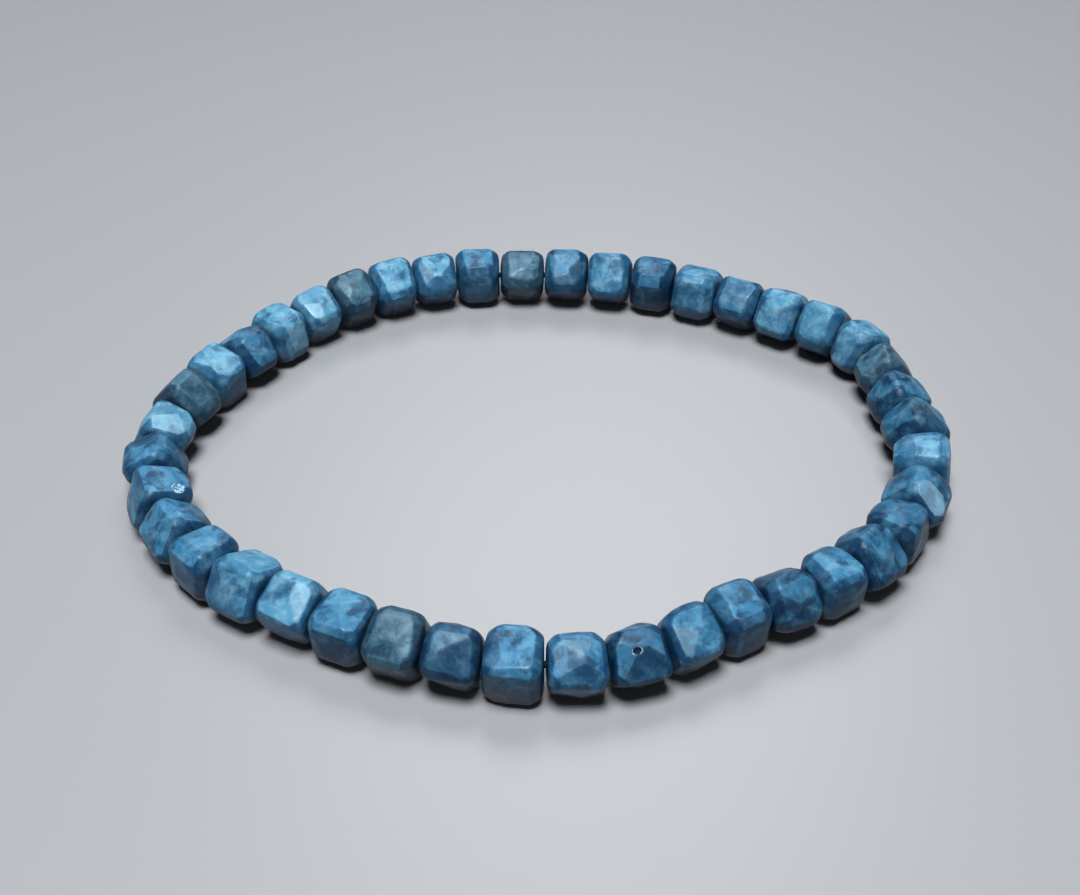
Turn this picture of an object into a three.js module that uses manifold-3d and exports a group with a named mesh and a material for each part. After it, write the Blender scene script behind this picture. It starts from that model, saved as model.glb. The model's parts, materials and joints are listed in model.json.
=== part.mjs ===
// A stretch bracelet: forty-two cube-cut blue sapphire beads threaded on one elastic cord.
// Lengths are in millimetres and angles in degrees. +Z is up. The bracelet lies on the plane
// z = 0, with the middle of its outline over the origin.
//
// A bead's own frame has X along the drilled hole, in the direction of travel round the loop,
// Y level and pointing away from the middle of the loop, and Z up.

import * as THREE from 'three';
import { mergeVertices } from 'three/addons/utils/BufferGeometryUtils.js';
import Module from 'manifold-3d';

const wasm = await Module();
wasm.setup();

// Bead
const beadWidth = 4.5;          // across two opposite faces, at their high points
const widthError = 0.12;        // how much wider or narrower a bead may be
const crownAngles = [7, 15];    // slopes of the four facets that rise to the middle of a face
const endCrownAngle = 6.5;      // slope of the four facets round a drilled end
const longBevelDepth = 0.22;    // ground off the edges between two faces, where slopes meet
const endBevelDepth = 0.24;     // ground off the edges between a face and a drilled end
const cornerDepth = 0.62;       // ground off each corner
const apexError = 0.5;          // how far the top of the slopes may lie from a face's middle
const broadTable = 1.2;         // half the width of the widest flat in the middle of a face
const tableError = 0.25;        // how far a flat's breadth may lie from what the bead's list says
const smallestTable = 0.12;     // below this the four slopes meet in a point instead
const endTable = 0.8;           // half the width of the flat round the hole in a drilled end
const endReach = 2.7;           // how far out from the hole two neighbours' ends may meet
const greatestEndTip = 6;       // how far from square to the hole an end may be cut
const cutError = 3;             // how far a hand-held stone tips on the wheel, at most
const depthError = 0.05;        // how far a facet is ground too deep or too shallow, at most
const boreRadius = 0.6;
const boreSides = 6;

// String
const cordRadius = 0.25;
const cordSides = 8;
const cordSteps = 41;
const knotRadius = 0.38;
const cordEndGap = 0.2;         // between the cord's two ends, inside the knot
const cordHeight = 2.58;        // of the stretched cord above the surface
const lowestAxis = 2.5;         // a bead lying on a face hangs this high on the cord
const beadClearance = 0.03;     // between the drilled ends of two beads

// The loop's centre line seen from above, clockwise from the back left.
const loopOutline = [
  [-17.6, 20.5], [-9.9, 23.9], [-1.5, 24.7], [7.0, 24.0], [15.1, 21.8], [22.7, 17.6],
  [28.8, 13.0], [30.6, 5.0], [31.2, -2.6], [27.9, -10.5], [22.0, -16.3], [14.2, -20.0],
  [7.0, -23.9], [-1.5, -24.5], [-9.7, -22.6], [-17.3, -19.3], [-24.6, -14.7], [-29.7, -7.5],
  [-31.0, 0.5], [-27.9, 8.4], [-23.4, 14.9],
];

// For each bead in that order: the length of string that it takes, the angle of one of its
// faces above the level that points away from the loop's middle, how broad the flats in the
// middle of its faces are, from 0 for slopes that meet in a point to 1, and its tint.
const beads = [
  [4.1, 32, 0.6, 'grey'], [4.2, 30, 0.9, 'pale'], [4.2, 40, 0.3, 'pale'], [4.2, 5, 0.5, 'mid'],
  [4.3, 33, 0.0, 'grey'], [4.2, 42, 0.6, 'mid'], [4.2, 45, 0.8, 'pale'], [4.2, 6, 0.4, 'deep'],
  [4.3, 75, 0.5, 'pale'], [4.3, 40, 0.2, 'mid'], [4.2, 60, 0.5, 'pale'], [4.1, 45, 0.9, 'pale'],
  [4.1, 70, 0.6, 'pale'], [4.1, 35, 0.0, 'grey'], [4.1, 62, 0.3, 'deep'], [4.2, 50, 0.6, 'deep'],
  [4.4, 10, 0.8, 'pale'], [4.4, 52, 0.2, 'mid'], [4.2, 12, 0.0, 'deep'], [4.0, 45, 0.5, 'deep'],
  [4.0, 88, 0.3, 'mid'], [4.1, 38, 0.0, 'deep'], [4.1, 85, 0.7, 'mid'], [4.2, 62, 0.1, 'mid'],
  [4.2, 52, 0.1, 'deep'], [4.3, 58, 0.0, 'mid'], [4.3, 80, 1.0, 'mid'], [4.2, 54, 0.0, 'deep'],
  [4.1, 62, 0.8, 'grey'], [4.2, 86, 0.5, 'mid'], [4.3, 62, 0.3, 'pale'], [4.4, 30, 0.9, 'pale'],
  [4.3, 5, 0.6, 'mid'], [4.4, 40, 0.2, 'mid'], [4.4, 20, 0.7, 'mid'], [4.2, 65, 0.4, 'mid'],
  [4.2, 30, 0.0, 'pale'], [4.2, 45, 0.7, 'grey'], [4.1, 8, 0.9, 'pale'], [4.0, 55, 0.3, 'mid'],
  [4.0, 85, 0.8, 'pale'], [4.1, 30, 0.1, 'pale'],
];

// Natural damage: a small pit in a face of one bead and a rough chip on another.
const pittedBead = 25;
const pitTurn = 59;             // from the level that points outwards to the pit
const pitAlong = 0.4;
const pitRadius = 0.3;
const pitStretch = 1.5;         // how much longer the pit is along the hole than across
const pitDepth = 0.2;
const chippedBead = 35;
const chipTurn = 128;
const chipAlong = -1.3;
const chipRadius = 0.7;
const chipDepth = 0.4;
const chipRoughness = 0.15;     // share by which the broken surface rises and falls

const sapphireShades = { pale: 0x6aa6cc, mid: 0x3d78ab, deep: 0x24497c, grey: 0x557f90 };
const elasticShade = 0x1f2a38;

// Two corners closer than this are one corner.
const weldDistance = 1e-5;

// A whole-number sequence that repeats only after about two thousand million steps.
const sequenceFactor = 48271;
const sequenceLength = 2147483647;

const radians = THREE.MathUtils.degToRad;

/** Numbers from 0 to 1 that come out the same each time for the same seed. */
function seededNumbers(seed) {
  let state = seed * sequenceFactor;
  return () => {
    state = (state * sequenceFactor) % sequenceLength;
    return state / sequenceLength;
  };
}

/** A geometry with places only, in which neighbouring triangles share their corners. */
function weldedGeometry(geometry) {
  const bare = geometry.clone();
  bare.deleteAttribute('normal');
  bare.deleteAttribute('uv');
  return mergeVertices(bare, weldDistance);
}

/** A closed three.js geometry as a solid that can be cut. */
function solidOf(geometry) {
  const merged = weldedGeometry(geometry);
  return new wasm.Manifold(new wasm.Mesh({
    numProp: 3,
    vertProperties: merged.attributes.position.array,
    triVerts: new Uint32Array(merged.index.array),
  }));
}

/** A solid as a three.js geometry with flat-shaded faces. */
function geometryOf(solid) {
  const mesh = solid.getMesh();
  const indexed = new THREE.BufferGeometry();
  indexed.setAttribute('position', new THREE.BufferAttribute(mesh.vertProperties, 3));
  indexed.setIndex(new THREE.BufferAttribute(mesh.triVerts, 1));
  const geometry = indexed.toNonIndexed();
  geometry.computeVertexNormals();
  return geometry;
}

/** The direction across the string at an angle above the level that points outwards. */
function acrossString(turn) {
  return new THREE.Vector3(0, Math.cos(radians(turn)), Math.sin(radians(turn)));
}

/** A slope that leans from a face's own direction and starts beside the middle of the face. */
function crownSlope(face, lean, faceDistance, start, angle) {
  const tip = radians(angle);
  const normal = face.clone().multiplyScalar(Math.cos(tip)).addScaledVector(lean, Math.sin(tip));
  const distance = faceDistance * Math.cos(tip) + start * Math.sin(tip);
  return { normal, distance, loose: true };
}

/** A bevel where two or three faces meet: reachSum is the sum of their distances, and the bevel
 * lies at a depth under the place where they would come together. */
function bevelBetween(faces, reachSum, depth) {
  const normal = new THREE.Vector3();
  faces.forEach((face) => normal.add(face));
  const distance = reachSum / normal.length() - depth;
  return { normal: normal.normalize(), distance, loose: true };
}

/** The drilled ends, edges and corners of a bead. The bevels lie under where the slopes meet. */
function rimFacets(roll, breadth, back, ahead) {
  const slope = Math.tan(radians((crownAngles[0] + crownAngles[1]) / 2));
  const endSlope = Math.tan(radians(endCrownAngle));
  const shoulder = (beadWidth / 2 + broadTable * breadth * slope) / (1 + slope);
  const facets = [];
  for (const { normal: along, reach } of [back, ahead]) {
    const endShoulder = reach - (shoulder - endTable) * endSlope;
    facets.push({ normal: along, distance: reach, loose: false });
    for (let side = 0; side < 4; side += 1) {
      const face = acrossString(roll + 90 * side);
      const nextFace = acrossString(roll + 90 * (side + 1));
      const lean = face.clone().projectOnPlane(along).normalize();
      facets.push(crownSlope(along, lean, reach, endTable, endCrownAngle));
      facets.push(bevelBetween([along, face], endShoulder + shoulder, endBevelDepth));
      facets.push(bevelBetween([along, face, nextFace], endShoulder + 2 * shoulder, cornerDepth));
    }
  }
  const longBevelDistance = shoulder * Math.SQRT2 - longBevelDepth;
  for (let side = 0; side < 4; side += 1) {
    const normal = acrossString(roll + 45 + 90 * side);
    facets.push({ normal, distance: longBevelDistance, loose: false });
  }
  return facets;
}

/** The four faces round the string: each has a flat table and four slopes that rise to it. */
function faceFacets(roll, breadth, random) {
  const facets = [];
  for (let side = 0; side < 4; side += 1) {
    const face = acrossString(roll + 90 * side);
    const along = new THREE.Vector3(1, 0, 0);
    const sideways = acrossString(roll + 90 * side + 90);
    const faceDistance = (beadWidth + widthError * (2 * random() - 1)) / 2;
    const table = broadTable * THREE.MathUtils.clamp(breadth + tableError * (2 * random() - 1), 0, 1);
    if (table > smallestTable) {
      facets.push({ normal: face, distance: faceDistance, loose: true });
    }
    for (const axis of [along, sideways]) {
      const shift = apexError * (2 * random() - 1);
      for (const sign of [1, -1]) {
        const lean = axis.clone().multiplyScalar(sign);
        const angle = THREE.MathUtils.lerp(...crownAngles, random());
        facets.push(crownSlope(face, lean, faceDistance, table + sign * shift, angle));
      }
    }
  }
  return facets;
}

/** A facet as the wheel really left it: a little tipped, and a little deep or shallow. */
function handCut(facet, random) {
  if (!facet.loose) {
    return facet;
  }
  const error = () => Math.tan(radians(cutError)) * (2 * random() - 1);
  const normal = facet.normal.clone();
  normal.add(new THREE.Vector3(error(), error(), error())).normalize();
  return { normal, distance: facet.distance + depthError * (2 * random() - 1) };
}

/** A small shallow pit with an oval mouth, sunk into the face at pitTurn. */
function pitCutter() {
  const geometry = new THREE.SphereGeometry(pitRadius, 8, 6);
  geometry.scale(pitStretch, 1, 1);
  const middle = acrossString(pitTurn).multiplyScalar(beadWidth / 2 + pitRadius - pitDepth);
  geometry.translate(pitAlong, middle.y, middle.z);
  return solidOf(geometry);
}

/** A rough lump that breaks a shallow chip out of the surface at chipTurn. */
function chipCutter() {
  const random = seededNumbers(chippedBead);
  const geometry = weldedGeometry(new THREE.IcosahedronGeometry(chipRadius, 1));
  const places = geometry.attributes.position;
  for (let i = 0; i < places.count; i += 1) {
    const size = 1 + chipRoughness * (2 * random() - 1);
    places.setXYZ(i, places.getX(i) * size, places.getY(i) * size, places.getZ(i) * size);
  }
  const middle = acrossString(chipTurn).multiplyScalar(beadWidth / 2 + chipRadius - chipDepth);
  geometry.translate(chipAlong, middle.y, middle.z);
  return solidOf(geometry);
}

/** One bead round its own hole: a block ground down facet by facet and then drilled. */
function beadGeometry(number, roll, breadth, back, ahead) {
  const random = seededNumbers(number);
  const block = 2 * beadWidth;
  let bead = solidOf(new THREE.BoxGeometry(block, block, block));
  const facets = [...rimFacets(roll, breadth, back, ahead), ...faceFacets(roll, breadth, random)];
  for (const facet of facets) {
    const { normal, distance } = handCut(facet, random);
    bead = bead.trimByPlane(normal.clone().negate().toArray(), -distance);
  }
  const drill = new THREE.CylinderGeometry(boreRadius, boreRadius, block, boreSides);
  drill.rotateZ(Math.PI / 2);
  bead = bead.subtract(solidOf(drill));
  if (number === pittedBead) {
    bead = bead.subtract(pitCutter());
  }
  if (number === chippedBead) {
    bead = bead.subtract(chipCutter());
  }
  return geometryOf(bead);
}

/** Where each bead starts and ends on the loop: one point for each place where two beads meet. */
function meetingPoints(loop) {
  const total = beads.reduce((sum, [length]) => sum + length, 0);
  const points = [];
  let travelled = -beads[0][0] / 2;
  for (const [length] of beads) {
    points.push(loop.getPointAt((travelled / total + 1) % 1));
    travelled += length;
  }
  return points;
}

/** How far the string turns from one chord to the next, clockwise seen from above. */
function turnBetween(chord, nextChord) {
  return Math.atan2(-chord.clone().cross(nextChord).z, chord.dot(nextChord));
}

/** A bead's drilled end: the way that it points and how far it lies from the bead's middle. It is
 * cut to lie against its neighbour's end where the string turns. Where the string turns too far
 * for that, it stays back so that the two ends don't touch. */
function drilledEnd(sign, half, turn) {
  const tip = THREE.MathUtils.clamp(turn / 2, -radians(greatestEndTip), radians(greatestEndTip));
  const opening = Math.tan(Math.abs(turn / 2 - tip));
  const atFlat = endTable * Math.SQRT2 * opening;
  const atRim = endReach * opening - (endReach - endTable) * Math.tan(radians(endCrownAngle));
  return {
    normal: new THREE.Vector3(sign * Math.cos(tip), -Math.sin(tip), 0),
    reach: half * Math.cos(tip) - beadClearance / 2 - Math.max(atFlat, atRim),
  };
}

function sapphireMaterial(shade) {
  return new THREE.MeshStandardMaterial({ color: shade, roughness: 0.28, metalness: 0 });
}

/** Threads the beads on the loop, each level, turned along the string and rolled as listed. */
function addBeads(bracelet, loop) {
  const points = meetingPoints(loop);
  const count = beads.length;
  const chords = points.map((point, i) => points[(i + 1) % count].clone().sub(point));
  beads.forEach(([, roll, breadth, tint], i) => {
    const chord = chords[i];
    const half = chord.length() / 2;
    const back = drilledEnd(-1, half, turnBetween(chords[(i + count - 1) % count], chord));
    const ahead = drilledEnd(1, half, turnBetween(chord, chords[(i + 1) % count]));
    const geometry = beadGeometry(i + 1, roll, breadth, back, ahead);
    geometry.computeBoundingBox();
    const bead = new THREE.Mesh(geometry, sapphireMaterial(sapphireShades[tint]));
    bead.name = `bead_${String(i + 1).padStart(2, '0')}`;
    const middle = points[i].clone().addScaledVector(chord, 0.5);
    bead.position.set(middle.x, middle.y, Math.max(-geometry.boundingBox.min.z, lowestAxis));
    bead.rotation.z = Math.atan2(chord.y, chord.x);
    bracelet.add(bead);
  });
}

/** The cord along the whole loop, its two ends tied in a knot inside the first bead. */
function cordGeometry(loop) {
  const round = new THREE.Shape();
  round.absarc(0, 0, cordRadius, 0, 2 * Math.PI);
  const ends = cordEndGap / 2 / loop.getLength();
  const route = [];
  for (let step = 0; step <= cordSteps; step += 1) {
    route.push(loop.getPointAt(ends + (1 - 2 * ends) * step / cordSteps));
  }
  const cord = solidOf(new THREE.ExtrudeGeometry(round, {
    steps: cordSteps,
    curveSegments: cordSides / 2,
    extrudePath: new THREE.CatmullRomCurve3(route),
  }));
  const knot = new THREE.IcosahedronGeometry(knotRadius, 1);
  const seam = loop.getPointAt(0);
  knot.translate(seam.x, seam.y, seam.z);
  return geometryOf(cord.add(solidOf(knot)));
}

function addCord(bracelet, loop) {
  const material = new THREE.MeshStandardMaterial({ color: elasticShade, roughness: 0.5, metalness: 0 });
  const cord = new THREE.Mesh(cordGeometry(loop), material);
  cord.name = 'elastic_cord';
  cord.position.z = cordHeight;
  bracelet.add(cord);
}

/** Moves the bracelet so that its outline is centred on the origin and its lowest point is at z = 0. */
function settle(bracelet) {
  const bounds = new THREE.Box3().setFromObject(bracelet, true);
  const middle = bounds.getCenter(new THREE.Vector3());
  bracelet.position.set(-middle.x, -middle.y, -bounds.min.z);
}

const bracelet = new THREE.Group();
const loop = new THREE.CatmullRomCurve3(
  loopOutline.map(([x, y]) => new THREE.Vector3(x, y, 0)),
  true,
);
addBeads(bracelet, loop);
addCord(bracelet, loop);
settle(bracelet);

export default bracelet;
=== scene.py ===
import json
import math

import bpy
import numpy as np
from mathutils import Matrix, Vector


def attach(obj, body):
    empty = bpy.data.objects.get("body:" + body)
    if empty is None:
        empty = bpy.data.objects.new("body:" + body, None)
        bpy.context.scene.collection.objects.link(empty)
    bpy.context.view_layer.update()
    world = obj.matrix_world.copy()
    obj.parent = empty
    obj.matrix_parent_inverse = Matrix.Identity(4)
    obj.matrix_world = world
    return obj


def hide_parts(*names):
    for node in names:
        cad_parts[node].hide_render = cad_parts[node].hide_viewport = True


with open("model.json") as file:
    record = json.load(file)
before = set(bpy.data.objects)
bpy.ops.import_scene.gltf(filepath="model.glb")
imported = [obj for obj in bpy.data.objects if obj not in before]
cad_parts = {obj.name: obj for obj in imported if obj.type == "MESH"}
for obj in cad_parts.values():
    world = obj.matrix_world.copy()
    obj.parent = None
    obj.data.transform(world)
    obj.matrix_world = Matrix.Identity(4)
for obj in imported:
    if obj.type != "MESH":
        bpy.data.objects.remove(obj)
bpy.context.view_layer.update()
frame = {"nodes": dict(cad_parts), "record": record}
millimetre = 0.001
beadNames = sorted(name for name in frame["nodes"] if name.startswith("bead_"))
nodeSlots = {entry["node"]: entry["material_slot"] for entry in frame["record"]["subparts"]}
print("frame loaded:", len(beadNames), "beads")


# Camera, at the photograph's viewing angle

cameraSettings = {
    "imageWidth": 1080,
    "focalPixels": 1380.0,        # focal length in pixels of the 1080 wide picture
    "elevation": 39.74,           # degrees above the level
    "azimuth": -0.34,             # degrees
    "distance": 112.6,            # mm from the point looked at
    "target": (0.0, -1.39, 2.55),   # mm, where the middle of the picture looks
    "sensorWidth": 36.0,
    "clipStart": 0.005,           # m
}


def buildCamera(settings):
    data = bpy.data.cameras.new("camera")
    data.sensor_width = settings["sensorWidth"]
    data.lens = settings["focalPixels"] * settings["sensorWidth"] / settings["imageWidth"]
    data.clip_start = settings["clipStart"]
    camera = bpy.data.objects.new("camera", data)
    elevation = math.radians(settings["elevation"])
    azimuth = math.radians(settings["azimuth"])
    forward = Vector((math.sin(azimuth) * math.cos(elevation),
                      math.cos(azimuth) * math.cos(elevation),
                      -math.sin(elevation)))
    target = Vector(settings["target"]) * millimetre
    camera.location = target - forward * settings["distance"] * millimetre
    camera.rotation_euler = forward.to_track_quat("-Z", "Y").to_euler()
    bpy.context.scene.collection.objects.link(camera)
    bpy.context.scene.camera = camera


buildCamera(cameraSettings)
print("camera placed")


# Floor and lights

stageSettings = {
    "floorSize": 3.0,             # m
    "floorColour": (0.27, 0.28, 0.295, 1),
    "floorRoughness": 0.36,
    "worldColour": (0.62, 0.66, 0.72, 1),
    "worldStrength": 0.055,
    "viewTransform": "Standard",
}
lightSettings = {
    # name: place in m, point looked at in m, size in m, watts, colour
    "backSoftbox": ((0.02, 0.30, 0.36), (0, 0, 0), 0.26, 0.8, (1.0, 0.985, 0.97)),
    "topSoftbox": ((-0.03, -0.09, 0.45), (0, 0, 0), 0.20, 3.5, (0.97, 0.985, 1.0)),
    "frontFill": ((0.22, -0.48, 0.30), (0, 0, 0), 0.20, 0.12, (0.95, 0.97, 1.0)),
}


def newMaterial(name):
    material = bpy.data.materials.new(name)
    material.use_nodes = True
    material.node_tree.nodes.clear()
    return material


def addNode(tree, kind, **values):
    node = tree.nodes.new(kind)
    for key, value in values.items():
        setattr(node, key, value)
    return node


def setInputs(node, **values):
    for name, value in values.items():
        node.inputs[name.replace("_", " ")].default_value = value
    return node


def buildFloor(settings):
    half = settings["floorSize"] / 2
    mesh = bpy.data.meshes.new("floor")
    corners = [(-half, -half, 0), (half, -half, 0), (half, half, 0), (-half, half, 0)]
    mesh.from_pydata(corners, [], [(0, 1, 2, 3)])
    floor = bpy.data.objects.new("floor", mesh)
    bpy.context.scene.collection.objects.link(floor)
    material = newMaterial("paleFloor")
    tree = material.node_tree
    shader = addNode(tree, "ShaderNodeBsdfPrincipled")
    shader.inputs["Base Color"].default_value = settings["floorColour"]
    shader.inputs["Roughness"].default_value = settings["floorRoughness"]
    output = addNode(tree, "ShaderNodeOutputMaterial")
    tree.links.new(shader.outputs["BSDF"], output.inputs["Surface"])
    mesh.materials.append(material)


def buildLights(settings):
    for name, (place, target, size, watts, colour) in settings.items():
        data = bpy.data.lights.new(name, "AREA")
        data.shape = "DISK"
        data.size = size
        data.energy = watts
        data.color = colour
        light = bpy.data.objects.new(name, data)
        light.location = place
        light.rotation_euler = (Vector(target) - Vector(place)).to_track_quat("-Z", "Y").to_euler()
        bpy.context.scene.collection.objects.link(light)


def buildWorld(settings):
    world = bpy.data.worlds.new("softRoom")
    world.use_nodes = True
    background = world.node_tree.nodes["Background"]
    background.inputs["Color"].default_value = settings["worldColour"]
    background.inputs["Strength"].default_value = settings["worldStrength"]
    bpy.context.scene.world = world
    bpy.context.scene.view_settings.view_transform = settings["viewTransform"]


buildFloor(stageSettings)
buildLights(lightSettings)
buildWorld(stageSettings)
print("floor and lights placed")


# Sapphire: shader groups that every tint shares

def newGroup(name, inputs, outputs):
    group = bpy.data.node_groups.new(name, "ShaderNodeTree")
    for socketName, kind, value in inputs:
        socket = group.interface.new_socket(socketName, in_out="INPUT", socket_type=kind)
        socket.default_value = value
    for socketName, kind in outputs:
        group.interface.new_socket(socketName, in_out="OUTPUT", socket_type=kind)
    return group


# Gives an input another node's output, or a plain value
def feed(tree, value, socket):
    if isinstance(value, bpy.types.NodeSocket):
        tree.links.new(value, socket)
    else:
        socket.default_value = value


def addMix(tree, factor, colourA, colourB):
    mix = addNode(tree, "ShaderNodeMix", data_type="RGBA")
    feed(tree, factor, mix.inputs[0])
    feed(tree, colourA, mix.inputs[6])
    feed(tree, colourB, mix.inputs[7])
    return mix.outputs[2]


def addMath(tree, operation, values, clamp=False):
    node = addNode(tree, "ShaderNodeMath", operation=operation, use_clamp=clamp)
    for value, socket in zip(values, node.inputs):
        feed(tree, value, socket)
    return node.outputs[0]


def multiply(tree, first, second):
    return addMath(tree, "MULTIPLY", (first, second))


def addRamp(tree, value, stops):
    ramp = addNode(tree, "ShaderNodeValToRGB")
    while len(ramp.color_ramp.elements) < len(stops):
        ramp.color_ramp.elements.new(0.5)
    for element, (position, level) in zip(ramp.color_ramp.elements, stops):
        element.position = position
        element.color = (level, level, level, 1)
    tree.links.new(value, ramp.inputs["Fac"])
    return ramp.outputs["Color"]


def addRange(tree, value, limits, low, high, interpolation="LINEAR"):
    node = addNode(tree, "ShaderNodeMapRange", interpolation_type=interpolation)
    tree.links.new(value, node.inputs["Value"])
    node.inputs["From Min"].default_value, node.inputs["From Max"].default_value = limits
    feed(tree, low, node.inputs["To Min"])
    feed(tree, high, node.inputs["To Max"])
    return node.outputs["Result"]


def addNoise(tree, vector, scale, detail, roughness, distortion=0.0):
    noise = addNode(tree, "ShaderNodeTexNoise")
    setInputs(noise, Scale=scale, Detail=detail, Roughness=roughness, Distortion=distortion)
    tree.links.new(vector, noise.inputs["Vector"])
    return noise.outputs["Fac"]


def addPattern(tree, vector, pattern):
    return addRamp(tree, addNoise(tree, vector, *pattern["noise"]), pattern["stops"])


def addAttribute(tree, name):
    return addNode(tree, "ShaderNodeAttribute", attribute_name=name).outputs["Fac"]


# Each noise has its waves per metre, detail, roughness and distortion. Stops are (noise, level).
stoneSettings = {
    "toneShare": 0.85,            # of a facet's own tone, with its painted light and shade, in the mix of the two tints
    "zoneShare": 0.3,             # of the slow zones in that mix
    "zones": {"noise": (380.0, 3.0, 0.6, 0.2), "stops": [(0.38, 0.0), (0.62, 1.0)]},
    "patches": {"noise": (900.0, 5.0, 0.62, 0.25), "stops": [(0.46, 0.0), (0.62, 1.0)]},
    "clouds": {"noise": (680.0, 5.0, 0.62, 0.3), "stops": [(0.37, 1.0), (0.51, 0.0)]},
    "specks": {"noise": (3400.0, 2.0, 0.5), "stops": [(0.64, 0.0), (0.72, 0.35)]},
    "spots": {"noise": (610.0, 5.0, 0.66, 0.4), "stops": [(0.59, 0.0), (0.70, 1.0)]},
    "undersideShadeNoise": (700.0, 4.0, 0.62),
    "undersideShadeRagged": 0.0022,         # m, how far the noise lowers the border of the painted underside shade
    "undersideShadeHeights": (0.0015, -0.0003),      # m, where the painted underside shade begins and where it is full
}


# Cloudy colour of the stone: each facet and slow zones lean to the clear or the dark tint, milky
# patches, dark clouds and small pale specks lie in it, facets of a low tone are darkened, and there
# are small rusty spots. A facet's tone is random, with painted light making facets that look up
# clearer and painted shade making the rim's facets darker. Towards the bottom the colour turns
# darker and brownish with a ragged border, a painted shade of the underside.
def buildStoneColour(settings):
    colour, value = "NodeSocketColor", "NodeSocketFloat"
    group = newGroup("stoneColour", [
        ("Body", colour, (0.05, 0.2, 0.42, 1)),
        ("Depth", colour, (0.02, 0.07, 0.2, 1)),
        ("Veil", colour, (0.3, 0.5, 0.6, 1)),
        ("Stain", colour, (0.12, 0.09, 0.1, 1)),
        ("Skin", colour, (0.12, 0.09, 0.1, 1)),
        ("Veil Amount", value, 0.5),
        ("Cloud Amount", value, 0.5),
        ("Facet Contrast", value, 0.5),
        ("Stain Amount", value, 0.5),
        ("Skin Amount", value, 0.5),
    ], [("Color", colour)])
    given = addNode(group, "NodeGroupInput").outputs
    end = addNode(group, "NodeGroupOutput")
    place = addNode(group, "ShaderNodeTexCoord").outputs["Object"]
    tone = addAttribute(group, "facetToneAndLight")

    zones = addPattern(group, place, settings["zones"])
    share = addMath(group, "ADD", (multiply(group, tone, settings["toneShare"]),
                                   multiply(group, zones, settings["zoneShare"])), clamp=True)
    body = addMix(group, share, given["Depth"], given["Body"])

    patches = multiply(group, addPattern(group, place, settings["patches"]), given["Veil Amount"])
    veiled = addMix(group, patches, body, given["Veil"])
    clouds = multiply(group, addPattern(group, place, settings["clouds"]), given["Cloud Amount"])
    clouded = addMix(group, clouds, veiled, given["Depth"])
    specks = addPattern(group, place, settings["specks"])
    speckled = addMix(group, specks, clouded, given["Veil"])
    # painted light and shade: a facet of a low tone is darkened, and the tone is low on the rim and
    # on facets that do not look up
    shade = multiply(group, addMath(group, "SUBTRACT", (1.0, tone)), given["Facet Contrast"])
    shaded = addMix(group, shade, speckled, given["Depth"])
    spots = multiply(group, addPattern(group, place, settings["spots"]), given["Stain Amount"])
    stained = addMix(group, spots, shaded, given["Stain"])

    # painted shade of the underside: darker and brownish towards the bottom, with a ragged border
    axes = addNode(group, "ShaderNodeSeparateXYZ")
    group.links.new(place, axes.inputs[0])
    wander = addNoise(group, place, *settings["undersideShadeNoise"])
    height = addMath(group, "MULTIPLY_ADD", (wander, -settings["undersideShadeRagged"], axes.outputs["Z"]))
    undersideShade = addRange(group, height, settings["undersideShadeHeights"], 0.0, 1.0, "SMOOTHSTEP")
    undersideShaded = addMix(group, multiply(group, undersideShade, given["Skin Amount"]), stained, given["Skin"])
    group.links.new(undersideShaded, end.inputs["Color"])
    return group


cutSettings = {
    "edges": {"noise": (900.0, 4.0, 0.65), "stops": [(0.35, 0.25), (0.7, 1.0)]},
    "grit": (6500.0, 3.0, 0.7),
    "glitterStops": [(0.46, 0.0), (0.56, 1.0)],      # of the grit
    "rimStops": [(0.0, 0.0), (0.06, 1.0)],           # of the depth of broken stone
    "hollowShadeStops": [(0.28, 0.0), (0.55, 1.0)],       # of the same depth, for the painted shade inside
    "glint": 0.8,                 # how near the glittering grains come to the worn colour
    "rimRoughness": 0.85,
    "polishNoise": (750.0, 4.0, 0.6),
    "polishLimits": (0.35, 0.7),  # noise at which the polish is best and worst
    "grain": (2600.0, 3.0, 0.6),
    "gritHeight": 3.0,            # times as high as the wheel grain
}


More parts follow.
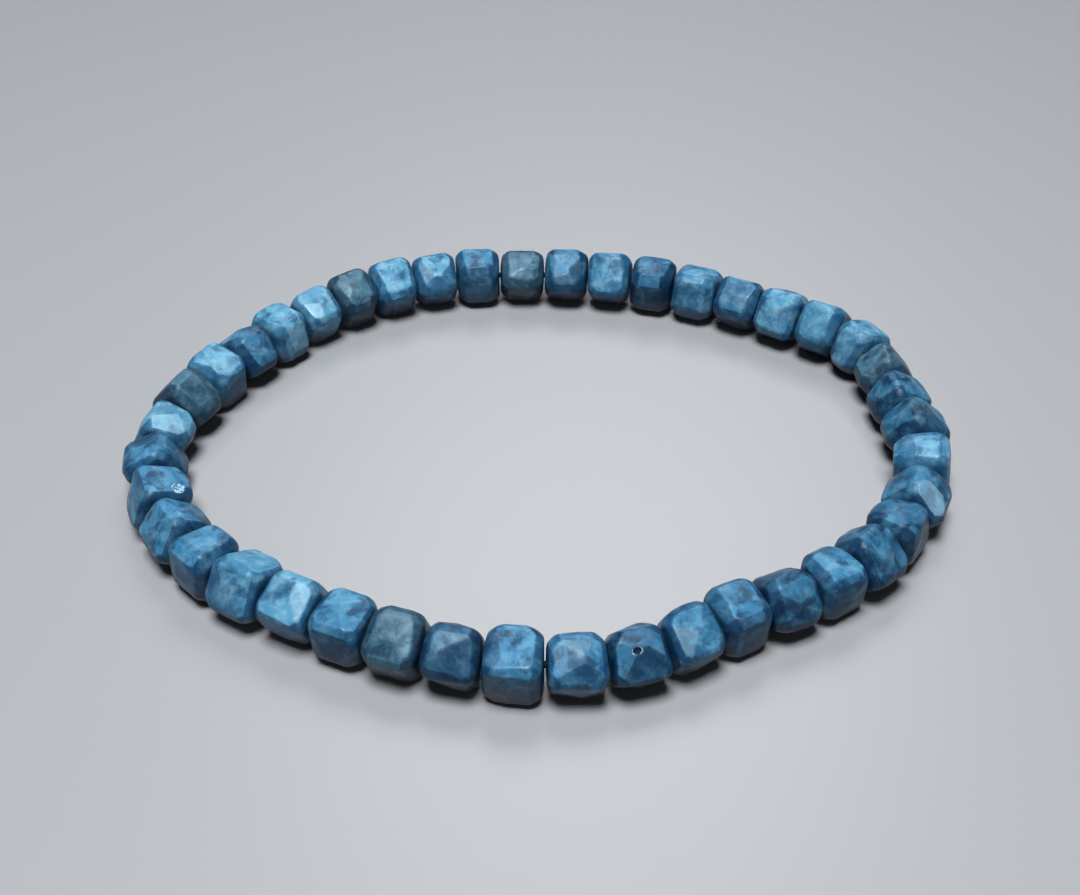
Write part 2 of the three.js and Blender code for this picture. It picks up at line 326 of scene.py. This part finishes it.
# Finish of the cut surface: a fine wheel grain, slow changes of polish, a little wear where facets
# meet, a pale facet here and there as a painted glint, and broken stone where it is pitted or
# chipped, pale and glittering at the rim, with painted shade inside.
def buildCutFinish(settings):
    colour, value = "NodeSocketColor", "NodeSocketFloat"
    group = newGroup("cutFinish", [
        ("Color", colour, (0.1, 0.2, 0.4, 1)),
        ("Worn Color", colour, (0.4, 0.55, 0.65, 1)),
        ("Hollow Color", colour, (0.01, 0.03, 0.06, 1)),
        ("Smooth", value, 0.2),
        ("Rough", value, 0.45),
        ("Wear", value, 0.1),
        ("Pale Amount", value, 0.4),
    ], [("Color", colour), ("Roughness", value), ("Height", value)])
    given = addNode(group, "NodeGroupInput").outputs
    end = addNode(group, "NodeGroupOutput")
    place = addNode(group, "ShaderNodeTexCoord").outputs["Object"]
    broken = addAttribute(group, "brokenDepth")

    scuffs = addPattern(group, place, settings["edges"])
    edges = multiply(group, addAttribute(group, "facetEdge"), scuffs)
    edged = addMix(group, multiply(group, edges, given["Wear"]), given["Color"], given["Worn Color"])
    # painted glint: one facet made pale
    paintedGlint = multiply(group, addAttribute(group, "paintedGlintPatch"), given["Pale Amount"])
    glinted = addMix(group, paintedGlint, edged, given["Worn Color"])
    grit = addNoise(group, place, *settings["grit"])
    rim = addRamp(group, broken, settings["rimStops"])
    grains = multiply(group, rim, addRamp(group, grit, settings["glitterStops"]))
    rimmed = addMix(group, multiply(group, grains, settings["glint"]), glinted, given["Worn Color"])
    # painted shade deep in a pit or a chip
    hollow = addRamp(group, broken, settings["hollowShadeStops"])
    group.links.new(addMix(group, hollow, rimmed, given["Hollow Color"]), end.inputs["Color"])

    polish = addRange(group, addNoise(group, place, *settings["polishNoise"]),
                      settings["polishLimits"], given["Smooth"], given["Rough"])
    rimRough = multiply(group, rim, settings["rimRoughness"])
    group.links.new(addMath(group, "MAXIMUM", (polish, rimRough)), end.inputs["Roughness"])

    grain = addNoise(group, place, *settings["grain"])
    gritHeight = multiply(group, multiply(group, rim, grit), settings["gritHeight"])
    group.links.new(addMath(group, "ADD", (grain, gritHeight)), end.inputs["Height"])
    return group


tintSettings = {
    "sapphire_pale": {"body": (0.070, 0.228, 0.368), "depth": (0.010, 0.062, 0.140),
                      "veil": (0.165, 0.360, 0.470), "veilAmount": 0.72, "stainAmount": 0.4},
    "sapphire_mid": {"body": (0.036, 0.155, 0.285), "depth": (0.005, 0.029, 0.076),
                     "veil": (0.098, 0.260, 0.380), "veilAmount": 0.66, "stainAmount": 0.45},
    "sapphire_deep": {"body": (0.022, 0.108, 0.212), "depth": (0.003, 0.016, 0.045),
                      "veil": (0.062, 0.190, 0.300), "veilAmount": 0.66, "stainAmount": 0.45},
    "sapphire_grey": {"body": (0.046, 0.120, 0.180), "depth": (0.008, 0.027, 0.054),
                      "veil": (0.100, 0.195, 0.255), "veilAmount": 0.6, "stainAmount": 0.5},
}
finishSettings = {
    "stain": (0.050, 0.040, 0.050, 1),
    # painted shade of the underside, dark and brownish
    "undersideShade": (0.040, 0.033, 0.042, 1),
    "cloudAmount": 0.85,
    "facetContrast": 0.75,        # how much darker a facet of a low tone is, the tone carrying painted light and shade
    "undersideShadeAmount": 0.8,
    "wornAndGlint": (0.42, 0.62, 0.74, 1),
    # painted shade deep in a pit or a chip
    "hollow": (0.004, 0.013, 0.026, 1),
    "smooth": 0.30,               # roughness where the polish is best
    "rough": 0.48,                # and where it is worst
    "wear": 0.07,
    "paintedGlintAmount": 0.42,           # of the worn colour in a facet with a painted glint
    "grainStrength": 0.12,
    "grainDepth": 0.0001,         # m
    "refractiveIndex": 1.77,
    "sheen": 0.13,                # specular level of a satin polish
    "sheenTint": (0.60, 0.86, 1.0, 1),
}


def buildSapphire(name, tint, finishing, stoneColour, cutFinish):
    material = newMaterial(name)
    tree = material.node_tree
    stone = addNode(tree, "ShaderNodeGroup", node_tree=stoneColour)
    setInputs(stone, Body=(*tint["body"], 1), Depth=(*tint["depth"], 1), Veil=(*tint["veil"], 1),
              Stain=finishing["stain"], Skin=finishing["undersideShade"],
              Veil_Amount=tint["veilAmount"], Cloud_Amount=finishing["cloudAmount"],
              Facet_Contrast=finishing["facetContrast"],
              Stain_Amount=tint["stainAmount"], Skin_Amount=finishing["undersideShadeAmount"])
    finish = addNode(tree, "ShaderNodeGroup", node_tree=cutFinish)
    setInputs(finish, Worn_Color=finishing["wornAndGlint"], Hollow_Color=finishing["hollow"],
              Smooth=finishing["smooth"], Rough=finishing["rough"], Wear=finishing["wear"],
              Pale_Amount=finishing["paintedGlintAmount"])
    tree.links.new(stone.outputs["Color"], finish.inputs["Color"])
    bump = addNode(tree, "ShaderNodeBump")
    setInputs(bump, Strength=finishing["grainStrength"], Distance=finishing["grainDepth"])
    tree.links.new(finish.outputs["Height"], bump.inputs["Height"])
    shader = addNode(tree, "ShaderNodeBsdfPrincipled")
    shader.inputs["IOR"].default_value = finishing["refractiveIndex"]
    shader.inputs["Specular IOR Level"].default_value = finishing["sheen"]
    shader.inputs["Specular Tint"].default_value = finishing["sheenTint"]
    tree.links.new(finish.outputs["Color"], shader.inputs["Base Color"])
    tree.links.new(finish.outputs["Roughness"], shader.inputs["Roughness"])
    tree.links.new(bump.outputs["Normal"], shader.inputs["Normal"])
    output = addNode(tree, "ShaderNodeOutputMaterial")
    tree.links.new(shader.outputs["BSDF"], output.inputs["Surface"])
    return material


stoneColourGroup = buildStoneColour(stoneSettings)
cutFinishGroup = buildCutFinish(cutSettings)
sapphires = {name: buildSapphire(name, tint, finishSettings, stoneColourGroup, cutFinishGroup)
             for name, tint in tintSettings.items()}
print("sapphire materials built")


# Beads

beadSettings = {
    "smallestTriangle": 1e-9,     # m2, twice the area under which a CAD triangle is left out
    "stepsAlong": 112,            # from one mouth of the hole to the other, over the outside
    "stepsAround": 160,
    "boreSteps": 4,
    "edgeSharpness": 115,         # power of the rounded join between facets
    "rimSlant": 0.45,             # facets that lean this much to the drilled ends are the rim
    "rimFade": 0.05,              # share of the radius over which the rounding of the rim fades
    "rimBlur": 20,                # steps of smoothing that round the rim
    "rimPaintedShade": 0.45,              # painted shade between the beads: the rim's facets keep this share of their tone
    "sameFacet": 0.9995,          # cosine under which two triangles are cut at different angles
    "edgeWidth": 0.014,           # share of the radius over which a facet's edge is worn
    "planeError": 2e-6,           # m
    "smallestWall": 5e-7,         # m2, a large triangle in the wall of the hole
    "leastDepth": 0.00002,        # m, of broken stone under the facets
    "boreRoom": 0.0008,           # m, round the hole's line, where no stone is broken
    "damageRim": 0.000018,        # m, how softly a pit's or a chip's edge is rounded
    # for a pit and a chip: how much longer it is along the hole than across, how much deeper in m
    # it is bitten than in the CAD node, the depth in m at which its painted shade is full, and how
    # far in m the broken stone rises and falls
    "damage": {"bead_25": {"stretch": 1.5, "sink": 0.00015, "hollowShadeDepth": 0.00012,
                           "roughness": 0.000006},
               "bead_35": {"stretch": 1.0, "sink": 0.0, "hollowShadeDepth": 0.0009,
                           "roughness": 0.000045}},
    "breakWaves": 16,
    "breakWaveCount": (4.0, 9.0),  # waves of the broken stone in a bead's radius
    "waves": 7,                   # shallow waves that the wheel leaves
    "waveHeight": 0.000006,       # m
    "waveCount": (2.0, 6.0),      # waves in a bead's radius
    "dents": 26,
    "dentDepth": (0.000004, 0.000018),     # m
    "dentWidth": (0.012, 0.045),   # share of the radius
    "middleTone": 0.34,
    "paintedLightTilt": 0.62,             # painted light: how much lighter a facet is that looks up
    "toneSpread": 0.95,           # how far one facet's tone may lie from another's
    # beads whose stone is clearer or darker than the others of their tint, partly painted light and
    # shade that differ from bead to bead
    "toneAndLightShifts": {"bead_01": -0.1, "bead_02": 0.15, "bead_03": -0.15, "bead_04": 0.15,
                   "bead_06": -0.1, "bead_07": -0.1, "bead_09": 0.1, "bead_13": 0.4,
                   "bead_15": 0.15, "bead_25": -0.1, "bead_27": -0.2, "bead_28": -0.3,
                   "bead_31": 0.1, "bead_34": 0.2, "bead_36": -0.15, "bead_37": 0.12,
                   "bead_39": 0.25, "bead_40": 0.1, "bead_41": 0.6, "bead_42": 0.4},
    # facets made pale as a painted glint: degrees round the hole from the level that points
    # outwards, how far along the hole in the direction of the string, and how pale the glint is
    "paleFacets": {"bead_18": (80, 0.5, 0.5), "bead_24": (67, 0.25, 0.3), "bead_31": (65, -0.4, 0.25),
                   "bead_37": (145, -0.7, 0.55), "bead_39": (117, -0.5, 0.2),
                   "bead_41": (155, -0.2, 0.3), "bead_42": (143, -0.4, 0.8)},
    "seed": 41,
}


# The triangles of a CAD node: corner places, unit normals and areas, as whole arrays.
def readTriangles(name, settings):
    mesh = frame["nodes"][name].data
    mesh.calc_loop_triangles()
    corners = np.empty(len(mesh.loop_triangles) * 3, dtype=np.int32)
    mesh.loop_triangles.foreach_get("vertices", corners)
    places = np.empty(len(mesh.vertices) * 3)
    mesh.vertices.foreach_get("co", places)
    triangles = places.reshape(-1, 3)[corners].reshape(-1, 3, 3)
    cross = np.cross(triangles[:, 1] - triangles[:, 0], triangles[:, 2] - triangles[:, 0])
    length = np.linalg.norm(cross, axis=1)
    keep = length > settings["smallestTriangle"]
    return triangles[keep], cross[keep] / length[keep, None], length[keep] / 2


# A pit or a chip as a ball: its middle, its radius and the squash along the hole that makes it
# round. Triangles under the facets and away from the hole are broken stone, and the ball is
# fitted to their corners.
def fitBall(triangles, bead, settings):
    direction, damage = bead["direction"], bead["damage"]
    middles = triangles.mean(axis=1) - bead["centre"]
    fromLine = np.linalg.norm(middles - (middles @ direction)[:, None] * direction, axis=1)
    under = (bead["distances"] - middles @ bead["normals"].T).min(axis=1)
    isBroken = (under > settings["leastDepth"]) & (fromLine > settings["boreRoom"])
    squash = np.eye(3) + (1 / damage["stretch"] - 1) * np.outer(direction, direction)
    places = (triangles[isBroken].reshape(-1, 3) - bead["centre"]) @ squash
    system = np.column_stack([2 * places, np.ones(len(places))])
    fit = np.linalg.lstsq(system, (places ** 2).sum(axis=1), rcond=None)[0]
    away = np.linalg.norm(fit[:3])
    return fit[:3] * (1 - damage["sink"] / away), math.sqrt(fit[3] + away ** 2), squash


# A bead's facets and hole. A facet's plane has the whole bead behind it. The walls of the hole are
# square to the hole's direction and equally far from its line, which the largest of them give.
def readBead(name, settings):
    triangles, normals, areas = readTriangles(name, settings)
    order = np.argsort(-areas)
    triangles, normals, areas = triangles[order], normals[order], areas[order]
    offsets = np.einsum("ij,ij->i", normals, triangles[:, 0])
    corners = triangles.reshape(-1, 3)
    outermost = (corners @ normals.T).max(axis=0)
    isFacet = outermost < offsets + settings["planeError"]
    isLargeWall = ~isFacet & (areas > settings["smallestWall"])
    direction = np.linalg.svd(normals[isLargeWall])[2][2]
    system = np.column_stack([normals[isLargeWall], np.ones(isLargeWall.sum())])
    line = np.linalg.lstsq(system, offsets[isLargeWall], rcond=None)[0]
    along = corners @ direction
    centre = line[:3] + direction * ((along.min() + along.max()) / 2 - line[:3] @ direction)
    normals, offsets = normals[isFacet], offsets[isFacet]
    first = np.unique((normals @ normals.T > settings["sameFacet"]).argmax(axis=1))
    bead = {"centre": centre, "direction": direction, "bore": abs(line[3])}
    bead["normals"] = normals[first]
    bead["distances"] = offsets[first] - bead["normals"] @ centre
    bead["damage"] = settings["damage"].get(name)
    bead["ball"] = fitBall(triangles[~isFacet], bead, settings) if bead["damage"] else None
    bead["paleFacet"] = settings["paleFacets"].get(name)
    # a bead's tone, shifted partly to paint in light or shade of its own
    bead["middleTone"] = settings["middleTone"] + settings["toneAndLightShifts"].get(name, 0)
    return bead


# The facet that a ray from the middle meets, at an angle round the hole and a place along it. The
# string runs clockwise seen from above, so outwards is to the left of its direction.
def facetAt(bead, turn, along):
    travel = bead["direction"]
    outwards = np.cross((0, 0, 1.0), travel)
    if outwards @ bead["centre"] < 0:
        travel, outwards = -travel, -outwards
    angle = math.radians(turn)
    up = np.array((0, 0, 1.0))
    place = along * travel + math.cos(angle) * outwards + math.sin(angle) * up
    return (bead["normals"] @ place / bead["distances"]).argmax()


# Shallow waves and dents, as a depth under the facets for each direction: waves are
# height * (1 + sin(k.d + phase)) / 2, dents are depth * exp(-(distance / width) ^ 2).
def handWork(directions, settings, random):
    depth = np.zeros(directions.shape[:2])
    for _ in range(settings["waves"]):
        heading = random.normal(size=3)
        heading *= 2 * np.pi * random.uniform(*settings["waveCount"]) / 2 / np.linalg.norm(heading)
        wave = np.sin(directions @ heading + random.uniform(0, 2 * np.pi))
        depth += settings["waveHeight"] * (1 + wave) / 2
    for _ in range(settings["dents"]):
        middle = random.normal(size=3)
        middle /= np.linalg.norm(middle)
        away = np.linalg.norm(directions - middle, axis=2) / random.uniform(*settings["dentWidth"])
        depth += random.uniform(*settings["dentDepth"]) * np.exp(-away ** 2)
    return depth


# Broken stone: a ball, or one drawn out along the hole, bites into the surface. With d squashed
# along the hole, a ray from the bead's middle enters it at
# (d.c - sqrt((d.c) ^ 2 - d.d (c.c - r ^ 2))) / d.d, and the surface lies at the nearer of the
# two, softly joined. The broken stone rises and falls as a sum of sin(k.d + phase).
def breakStone(radius, directions, ball, roughness, settings):
    middle, reach, squash = ball
    squashed = directions @ squash
    lengthSquare = (squashed ** 2).sum(axis=2)
    nearest = squashed @ middle
    inside = nearest ** 2 - lengthSquare * (middle @ middle - reach ** 2)
    isHit = (inside > 0) & (nearest > 0)
    entry = np.where(isHit, (nearest - np.sqrt(np.maximum(inside, 0))) / lengthSquare, 2 * radius)
    random = np.random.default_rng(settings["seed"])
    waveHeight = roughness / math.sqrt(settings["breakWaves"])
    for _ in range(settings["breakWaves"]):
        heading = random.normal(size=3)
        heading *= 2 * np.pi * random.uniform(*settings["breakWaveCount"]) / np.linalg.norm(heading)
        phase = random.uniform(0, 2 * np.pi)
        entry += waveHeight * np.sin(directions @ heading + phase)
    rim = settings["damageRim"]
    return -rim * np.logaddexp(-radius / rim, -entry / rim)


# Directions from a bead's middle, u from one mouth of the hole to the other and v round the hole
def beadDirections(bead, slant, settings):
    direction = bead["direction"]
    side = np.cross(direction, (0, 0, 1.0))
    side /= np.linalg.norm(side)
    up = np.cross(side, direction)
    v = np.linspace(0, 2 * np.pi, settings["stepsAround"], endpoint=False)
    spread = np.cos(v)[:, None] * side + np.sin(v)[:, None] * up
    mouthAhead = math.atan2(bead["bore"], bead["distances"][slant.argmax()])
    mouthBack = math.atan2(bead["bore"], bead["distances"][slant.argmin()])
    u = np.linspace(mouthAhead, np.pi - mouthBack, settings["stepsAlong"])
    return np.cos(u)[:, None, None] * direction + np.sin(u)[:, None, None] * spread


# The radius in each direction, and how near a facet's edge it is. A facet at distance h has the
# closeness n.d / h in direction d, and the radius is the power mean of the facets' own radii,
# (sum of (n.d / h) ^ p) ^ (-1 / p), which is a polyhedron with softly rounded edges. The rim,
# round the drilled ends, is tumbled soft: where the mean of 1 / radius with its neighbours is
# more than 1 / radius itself, the mean takes its place, so stone is only taken away.
def facetRadius(closeness, isRim, settings):
    closest = closeness.max(axis=2)
    sharpness = settings["edgeSharpness"]
    powers = (closeness / closest[:, :, None]) ** sharpness
    crisp = closest * powers.sum(axis=2) ** (1 / sharpness)
    rimLead = closeness[:, :, isRim].max(axis=2) - closeness[:, :, ~isRim].max(axis=2)
    rimShare = np.clip(1 + rimLead / closest / settings["rimFade"], 0, 1)
    rimShare[[0, -1]] = 0
    soft = crisp
    for _ in range(settings["rimBlur"]):
        beside = np.roll(soft, 1, axis=1) + np.roll(soft, -1, axis=1)
        above = np.concatenate([soft[:1], soft[:-1]]) + np.concatenate([soft[1:], soft[-1:]])
        soft = np.maximum(soft, (2 * soft + beside + above) / 6)
    secondClosest = np.partition(closeness, -2, axis=2)[:, :, -2]
    edge = (1 - rimShare) * np.exp(-(1 - secondClosest / closest) / settings["edgeWidth"])
    return 1 / (crisp * (1 - rimShare) + soft * rimShare), edge


# How light each facet is: a random tone, with painted light making one that looks up clearer and
# painted shade making the rim's darker
def facetTones(bead, isRim, settings, random):
    # painted light: a facet that looks up is made lighter
    tones = bead["middleTone"] + settings["paintedLightTilt"] * bead["normals"][:, 2]
    tones += settings["toneSpread"] * random.uniform(-0.5, 0.5, size=len(bead["distances"]))
    tones = np.clip(tones, 0, 1)
    # painted shade between the beads: the rim's facets are darkened
    tones[isRim] *= settings["rimPaintedShade"]
    return tones


# A bead as a sheet of places over the two angles: its middle + radius * direction, where hand
# work and broken stone lower the radius. The sheet goes back through the hole as a plain tube.
# Beside the places it gives the marks that the materials read: how near a facet's edge is, how
# clear the facet is with its painted light and shade, which facet has a painted glint, and how deep a
# place lies in broken stone.
def beadSurface(bead, settings, random):
    slant = bead["normals"] @ bead["direction"]
    isRim = np.abs(slant) > settings["rimSlant"]
    directions = beadDirections(bead, slant, settings)
    closeness = np.maximum(directions @ (bead["normals"] / bead["distances"][:, None]).T, 0)
    radius, edge = facetRadius(closeness, isRim, settings)
    facet = closeness.argmax(axis=2)
    tone = facetTones(bead, isRim, settings, random)[facet]
    pale = np.zeros_like(tone)
    # painted glint: one facet is marked to be made pale
    if bead["paleFacet"]:
        turn, along, glintStrength = bead["paleFacet"]
        pale = (facet == facetAt(bead, turn, along)) * glintStrength
    radius -= handWork(directions, settings, random)
    broken = np.zeros_like(radius)
    if bead["ball"]:
        whole, damage = radius, bead["damage"]
        radius = breakStone(radius, directions, bead["ball"], damage["roughness"], settings)
        broken = np.clip((whole - radius - settings["damageRim"]) / damage["hollowShadeDepth"], 0, 1)
    outside = bead["centre"] + radius[:, :, None] * directions
    share = np.linspace(0, 1, settings["boreSteps"] + 2)[1:-1, None, None]
    tube = outside[-1] * (1 - share) + outside[0] * share
    unmarked = np.zeros(tube.shape[:2])
    marks = {"facetEdge": edge, "facetToneAndLight": tone, "paintedGlintPatch": pale, "brokenDepth": broken}
    marks = {name: np.concatenate([mark, unmarked]) for name, mark in marks.items()}
    return np.concatenate([outside, tube]), marks


# A mesh from a grid of points whose rows and columns both close on themselves
def meshFromGrid(name, grid):
    rows, columns = grid.shape[:2]
    index = np.arange(rows * columns).reshape(rows, columns)
    nextRow = np.roll(index, -1, axis=0)
    corners = [index, nextRow, np.roll(nextRow, -1, axis=1), np.roll(index, -1, axis=1)]
    faces = np.stack(corners, axis=-1).reshape(-1, 4)
    mesh = bpy.data.meshes.new(name)
    mesh.vertices.add(rows * columns)
    mesh.vertices.foreach_set("co", grid.reshape(-1).astype(np.float32))
    mesh.loops.add(faces.size)
    mesh.loops.foreach_set("vertex_index", faces.reshape(-1).astype(np.int32))
    mesh.polygons.add(len(faces))
    mesh.polygons.foreach_set("loop_start", np.arange(0, faces.size, 4, dtype=np.int32))
    mesh.update(calc_edges=True)
    mesh.validate()
    return mesh


def addPiece(name, mesh, material, node):
    mesh.materials.append(material)
    piece = bpy.data.objects.new(name, mesh)
    bpy.context.scene.collection.objects.link(piece)
    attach(piece, "root")
    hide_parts(node)


def buildBead(name, settings, random):
    bead = readBead(name, settings)
    surface, marks = beadSurface(bead, settings, random)
    mesh = meshFromGrid(name + "_cut", surface)
    for markName, mark in marks.items():
        attribute = mesh.attributes.new(markName, "FLOAT", "POINT")
        attribute.data.foreach_set("value", mark.reshape(-1).astype(np.float32))
    addPiece(name + "_cut", mesh, sapphires[nodeSlots[name]], name)
    return bead


beadRandom = np.random.default_rng(beadSettings["seed"])
beads = [buildBead(name, beadSettings, beadRandom) for name in beadNames]
print("beads cut")


# Cord

cordSettings = {
    "radius": 0.25 * millimetre,
    "stepsPerBead": 14,
    "stepsAround": 16,
    "darkColour": (0.004, 0.008, 0.014, 1),
    "dustColour": (0.012, 0.020, 0.032, 1),
    "dust": (1800.0, 3.0, 0.6),   # waves per metre, detail and roughness of the noise
    "roughness": 0.7,
    "sheen": 0.15,                # specular level
    "bumpStrength": 0.2,
    "bumpDepth": 0.00003,         # m
}


def buildElastic(settings):
    material = newMaterial("darkElastic")
    tree = material.node_tree
    place = addNode(tree, "ShaderNodeTexCoord").outputs["Object"]
    dust = addNoise(tree, place, *settings["dust"])
    colour = addMix(tree, dust, settings["darkColour"], settings["dustColour"])
    shader = addNode(tree, "ShaderNodeBsdfPrincipled")
    shader.inputs["Roughness"].default_value = settings["roughness"]
    shader.inputs["Specular IOR Level"].default_value = settings["sheen"]
    bump = addNode(tree, "ShaderNodeBump")
    setInputs(bump, Strength=settings["bumpStrength"], Distance=settings["bumpDepth"])
    tree.links.new(dust, bump.inputs["Height"])
    tree.links.new(bump.outputs["Normal"], shader.inputs["Normal"])
    tree.links.new(colour, shader.inputs["Base Color"])
    output = addNode(tree, "ShaderNodeOutputMaterial")
    tree.links.new(shader.outputs["BSDF"], output.inputs["Surface"])
    return material


# The cord's centre line is a closed Catmull-Rom curve through the middles of the beads' holes,
# level at their mean height, and a circle is carried along it.
def buildCord(settings):
    knots = np.array([bead["centre"] for bead in beads])
    knots[:, 2] = knots[:, 2].mean()
    t = np.linspace(0, 1, settings["stepsPerBead"], endpoint=False)[:, None, None]
    before, here, after, beyond = (np.roll(knots, shift, axis=0)[None] for shift in (1, 0, -1, -2))
    linear = after - before
    square = 2 * before - 5 * here + 4 * after - beyond
    cube = 3 * here - before - 3 * after + beyond
    curve = 0.5 * (2 * here + linear * t + square * t ** 2 + cube * t ** 3)
    curve = curve.transpose(1, 0, 2).reshape(-1, 3)
    tangent = np.roll(curve, -1, axis=0) - np.roll(curve, 1, axis=0)
    tangent /= np.linalg.norm(tangent, axis=1)[:, None]
    side = np.cross(tangent, (0, 0, 1.0))
    angle = np.linspace(0, 2 * np.pi, settings["stepsAround"], endpoint=False)[None, :, None]
    ring = np.cos(angle) * side[:, None] + np.sin(angle) * np.array((0, 0, 1.0))
    grid = curve[:, None] + settings["radius"] * ring
    mesh = meshFromGrid("elastic_strand", grid)
    addPiece("elastic_strand", mesh, buildElastic(settings), "elastic_cord")


buildCord(cordSettings)
print("cord threaded")
